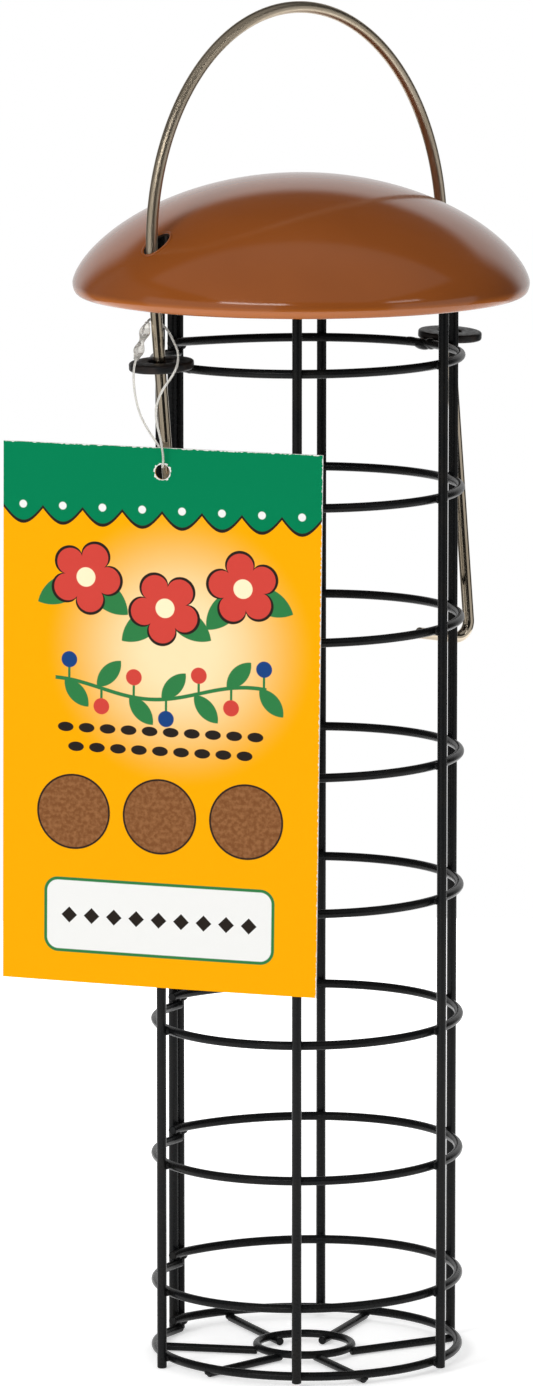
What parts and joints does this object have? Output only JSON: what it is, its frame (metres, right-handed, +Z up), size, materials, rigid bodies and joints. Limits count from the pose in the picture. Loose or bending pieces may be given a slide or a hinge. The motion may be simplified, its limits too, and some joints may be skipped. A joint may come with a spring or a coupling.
{
  "type": "suet ball feeder",
  "caption": "Hanging suet ball feeder: a round welded wire cage with a domed sliding lid, a wire bail with hooked ends and a hang tag on a nylon loop.",
  "frame": {"origin": "on the floor under the centre of the lid's rim, the cage standing on its uprights", "axes": "+Z up, -Y towards the viewer of the picture, +X to the viewer's right"},
  "size_m": [0.1354, 0.1174, 0.3537],
  "materials": {
    "black_powder_coat": "satin black powder coat on steel wire",
    "copper_enamel": "glossy copper-brown enamel on pressed steel",
    "antique_nickel": "drawn steel wire with a warm antique nickel plating",
    "clear_nylon": "clear nylon",
    "printed_card": "coated card, printed"
  },
  "bodies": {
    "cage": {"upright_front": "black_powder_coat", "upright_front_right": "black_powder_coat", "upright_back_right": "black_powder_coat", "upright_back": "black_powder_coat", "upright_front_left": "black_powder_coat", "upright_seam_inner": "black_powder_coat", "upright_seam_outer": "black_powder_coat", "hoop_1": "black_powder_coat", "hoop_2": "black_powder_coat", "hoop_3": "black_powder_coat", "hoop_4": "black_powder_coat", "hoop_5": "black_powder_coat", "hoop_6": "black_powder_coat", "hoop_7": "black_powder_coat", "hoop_8": "black_powder_coat", "bottom_hoop": "black_powder_coat", "base_spoke_1": "black_powder_coat", "base_spoke_2": "black_powder_coat", "base_spoke_3": "black_powder_coat", "base_spoke_4": "black_powder_coat", "base_spoke_5": "black_powder_coat", "base_spoke_6": "black_powder_coat", "base_center_ring": "black_powder_coat", "ear_left": "black_powder_coat", "ear_right": "black_powder_coat"},
    "bail": {"bail_handle": "antique_nickel"},
    "lid": {"lid": "copper_enamel"},
    "loop": {"tag_loop": "clear_nylon", "loop_lock": "clear_nylon"},
    "tag": {"hang_tag": "printed_card"}
  },
  "joints": [
    {"name": "bail_slide", "type": "slide", "parent": "cage", "child": "bail", "axis": [-0.0702, -0.06, 0.9957], "range_m": [-0.004, 0.0056]},
    {"name": "lid_lift", "type": "slide", "parent": "cage", "child": "lid", "axis": [-0.0702, -0.06, 0.9957], "range_m": [0, 0.008]},
    {"name": "tag_swing", "type": "hinge", "parent": "cage", "child": "loop", "pos_m": [-0.0373, -0.0282, 0.2751], "axis": [-0.9687, 0.2483, 0], "range_deg": [0, 45]},
    {"name": "tag_twist", "type": "hinge", "parent": "loop", "child": "tag", "pos_m": [-0.0351, -0.0338, 0.2381], "axis": [0, 0, -1], "range_deg": [0, 25]}
  ]
}
